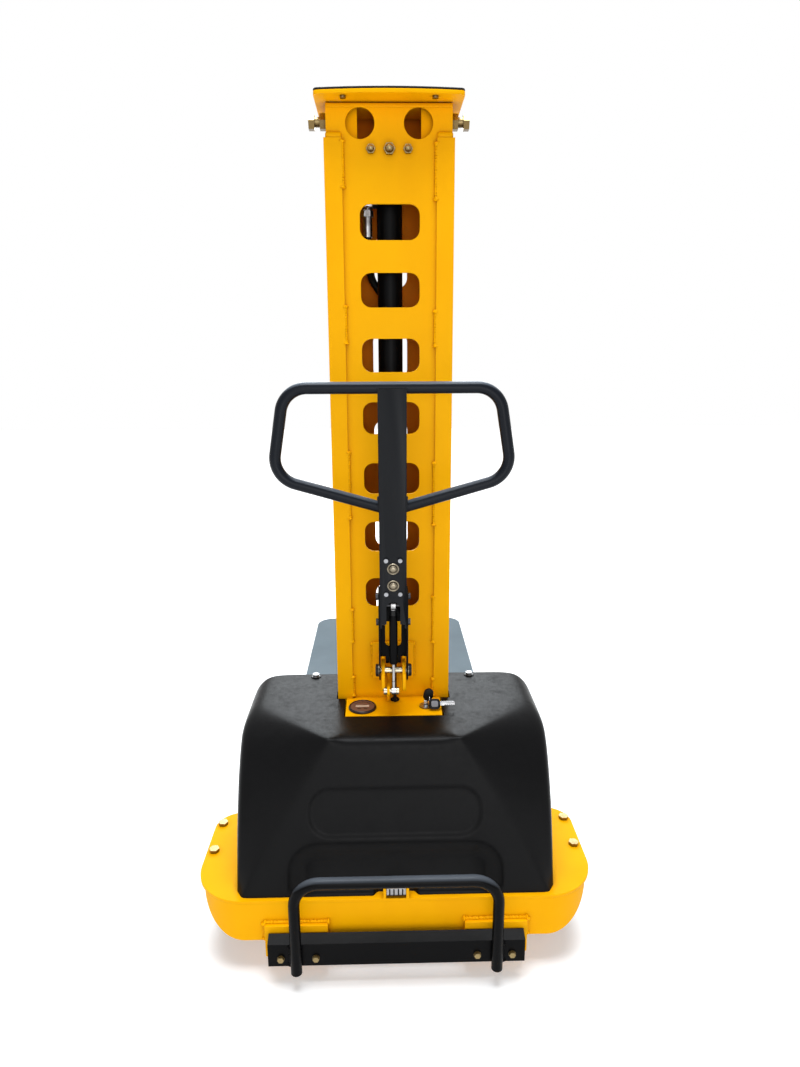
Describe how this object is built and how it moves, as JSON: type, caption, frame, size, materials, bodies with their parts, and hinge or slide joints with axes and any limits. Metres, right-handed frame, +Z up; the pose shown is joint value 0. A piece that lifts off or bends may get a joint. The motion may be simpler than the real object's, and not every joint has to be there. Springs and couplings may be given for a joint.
{
  "type": "self-loading stacker",
  "caption": "Walk-behind lift stacker with a windowed mast, forks over sliding support legs, tilting tiller, moulded power-pack cover and rear pull hoop.",
  "frame": {"origin": "centre of the footprint on the floor", "axes": "+Z up, +Y along the forks away from the operator, +X to the operator's right"},
  "size_m": [0.736, 1.6392, 1.51],
  "materials": {
    "yellow_paint": "gloss",
    "black_moulding": "satin",
    "black_plastic": "satin",
    "dark_paint": "satin",
    "black_paint": "satin",
    "grey_paint": "satin",
    "zinc": "plated",
    "bright_steel": "ground",
    "tyre": "moulded",
    "nylon": "matt",
    "hose": "matt"
  },
  "bodies": {
    "chassis": {"base_plate": "yellow_paint", "rear_skirt": "yellow_paint", "leg_sleeves": "yellow_paint", "mast_channels": "yellow_paint", "mast_rear_plate": "yellow_paint", "instrument_shelf": "yellow_paint", "tiller_bracket": "yellow_paint", "tiller_pivots": "zinc", "rear_cover": "black_moulding", "cover_bolts": "zinc", "battery": "black_plastic", "hydraulic_pump": "black_paint", "oil_tank": "black_plastic", "cylinder_barrel": "black_paint", "cylinder_brackets": "yellow_paint", "clamp_cap_nuts": "zinc", "hydraulic_hoses": "hose", "hose_fittings": "zinc", "guide_pads": "nylon", "pad_adjusters": "zinc", "battery_gauge": "black_plastic", "key_switch": "bright_steel", "caster_bolts": "zinc", "caster_plates": "zinc", "shelf_cable": "hose"},
    "lift": {"inner_rails": "yellow_paint", "inner_mast_plate": "yellow_paint", "top_plate": "yellow_paint", "top_pad": "black_plastic", "top_pad_screws": "zinc", "cylinder_rod": "bright_steel", "fork_carriage": "yellow_paint", "left_fork": "grey_paint", "right_fork": "grey_paint", "roller_axles": "bright_steel"},
    "mast_rollers": {"mast_rollers": "bright_steel"},
    "fork_rollers": {"fork_rollers": "tyre"},
    "legs": {"left_leg": "grey_paint", "right_leg": "grey_paint", "leg_cross_plate": "black_paint", "push_hoop": "black_paint", "cross_plate_bolts": "zinc"},
    "left_leg_wheel": {"left_leg_wheel": "tyre"},
    "right_leg_wheel": {"right_leg_wheel": "tyre"},
    "left_caster": {"left_caster_fork": "zinc"},
    "right_caster": {"right_caster_fork": "zinc"},
    "left_caster_wheel": {"left_caster_wheel": "tyre"},
    "right_caster_wheel": {"right_caster_wheel": "tyre"},
    "tiller": {"tiller_stem": "dark_paint", "tiller_yoke": "black_paint", "tiller_loop": "dark_paint", "tiller_screws": "zinc", "button_barrels": "bright_steel", "tiller_cable": "hose"},
    "raise_button": {"raise_button": "black_plastic"},
    "lower_button": {"lower_button": "black_plastic"},
    "gas_rod": {"gas_spring_rod": "bright_steel"},
    "gas_cylinder": {"gas_spring_cylinder": "black_paint"},
    "keys": {"key_set": "bright_steel"},
    "latch": {"cover_latch": "zinc"}
  },
  "joints": [
    {"name": "mast_lift", "type": "slide", "parent": "chassis", "child": "lift", "axis": [0, 0, 1], "range_m": [0, 1.1]},
    {"name": "mast_roller_turn", "type": "hinge", "parent": "lift", "child": "mast_rollers", "pos_m": [0, -0.4774, 0.206], "axis": [1, 0, 0], "continuous": true},
    {"name": "fork_roller_turn", "type": "hinge", "parent": "lift", "child": "fork_rollers", "pos_m": [0, 0.7616, 0.046], "axis": [1, 0, 0], "continuous": true},
    {"name": "leg_slide", "type": "slide", "parent": "chassis", "child": "legs", "axis": [0, 1, 0], "range_m": [-0.6, 0]},
    {"name": "left_leg_wheel_turn", "type": "hinge", "parent": "legs", "child": "left_leg_wheel", "pos_m": [-0.174, 0.6316, 0.037], "axis": [1, 0, 0], "continuous": true},
    {"name": "right_leg_wheel_turn", "type": "hinge", "parent": "legs", "child": "right_leg_wheel", "pos_m": [0.174, 0.6316, 0.037], "axis": [1, 0, 0], "continuous": true},
    {"name": "left_caster_swivel", "type": "hinge", "parent": "chassis", "child": "left_caster", "pos_m": [-0.3115, -0.5874, 0.125], "axis": [0, 0, 1], "continuous": true},
    {"name": "right_caster_swivel", "type": "hinge", "parent": "chassis", "child": "right_caster", "pos_m": [0.3115, -0.5874, 0.125], "axis": [0, 0, 1], "continuous": true},
    {"name": "left_caster_turn", "type": "hinge", "parent": "left_caster", "child": "left_caster_wheel", "pos_m": [-0.3115, -0.6174, 0.05], "axis": [1, 0, 0], "continuous": true},
    {"name": "right_caster_turn", "type": "hinge", "parent": "right_caster", "child": "right_caster_wheel", "pos_m": [0.3115, -0.6174, 0.05], "axis": [1, 0, 0], "continuous": true},
    {"name": "tiller_tilt", "type": "hinge", "parent": "chassis", "child": "tiller", "pos_m": [0, -0.6034, 0.516], "axis": [1, 0, 0], "range_deg": [0, 60], "stiffness_Nm_per_rad": 14, "springref_deg": -25.78},
    {"name": "raise_press", "type": "slide", "parent": "tiller", "child": "raise_button", "axis": [0, 0.9962, 0.0872], "range_m": [0, 0.002], "stiffness_N_per_m": 600, "springref_m": -0.002},
    {"name": "lower_press", "type": "slide", "parent": "tiller", "child": "lower_button", "axis": [0, 0.9962, 0.0872], "range_m": [0, 0.002], "stiffness_N_per_m": 600, "springref_m": -0.002},
    {"name": "gas_rod_swing", "type": "hinge", "parent": "chassis", "child": "gas_rod", "pos_m": [0, -0.6204, 0.4815], "axis": [1, 0, 0], "range_deg": [0, 54]},
    {"name": "gas_cylinder_slide", "type": "slide", "parent": "gas_rod", "child": "gas_cylinder", "axis": [0, -0.0171, 0.9999], "range_m": [-0.032, 0.002]},
    {"name": "key_turn", "type": "hinge", "parent": "chassis", "child": "keys", "pos_m": [0.063, -0.5774, 0.43], "axis": [0, 0, -1], "range_deg": [0, 60]},
    {"name": "latch_swing", "type": "hinge", "parent": "chassis", "child": "latch", "pos_m": [0, -0.7614, 0.159], "axis": [1, 0, 0], "range_deg": [0, 80]}
  ],
  "couplings": [
    {"joint": "mast_roller_turn", "follows": "mast_lift", "rad_per_m": 20.202},
    {"joint": "gas_rod_swing", "follows": "tiller_tilt", "ratio": 0.845},
    {"joint": "gas_cylinder_slide", "follows": "tiller_tilt", "m_per_rad": -0.0274}
  ]
}
